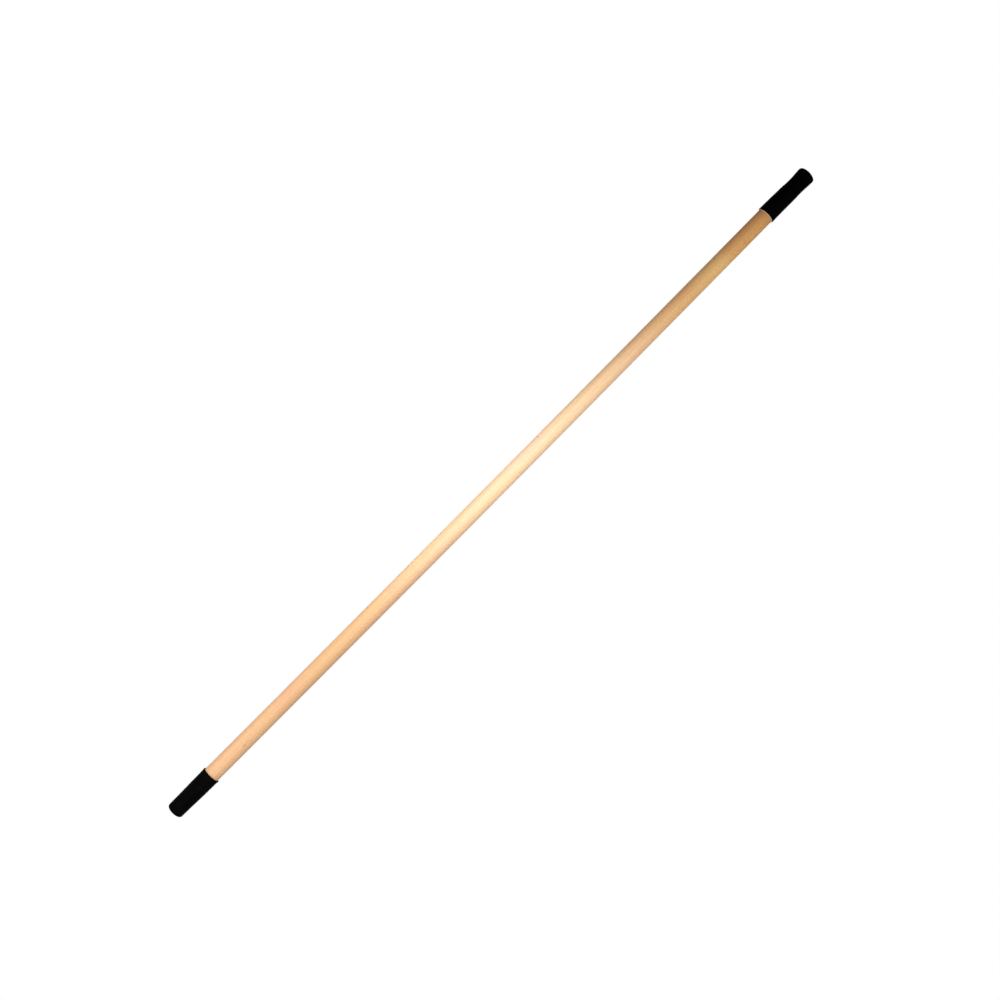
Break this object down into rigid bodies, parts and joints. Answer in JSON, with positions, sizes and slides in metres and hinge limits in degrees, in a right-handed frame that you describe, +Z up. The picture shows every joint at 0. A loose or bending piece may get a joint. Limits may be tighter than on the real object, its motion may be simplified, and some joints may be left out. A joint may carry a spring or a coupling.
{
  "type": "devil stick",
  "caption": "Slim, straight hardwood juggling stick with a soft black vinyl cap over each end; one cap reaches past the rod and ends in a flared tip.",
  "frame": {"origin": "on the stick's axis, halfway between the two tips", "axes": "+X runs along the stick towards the long cap's flared tip, +Z is up and +Y is across"},
  "size_m": [0.6352, 0.014, 0.014],
  "materials": {
    "wood": "smooth sanded beech with a thin satin oil finish",
    "vinyl": "soft matte black vinyl",
    "tape": "pale woven cloth tape"
  },
  "bodies": {
    "root": {"rod": "wood", "short_cap": "vinyl", "long_cap": "vinyl", "short_cap_tape": "tape", "long_cap_tape": "tape"}
  },
  "joints": []
}
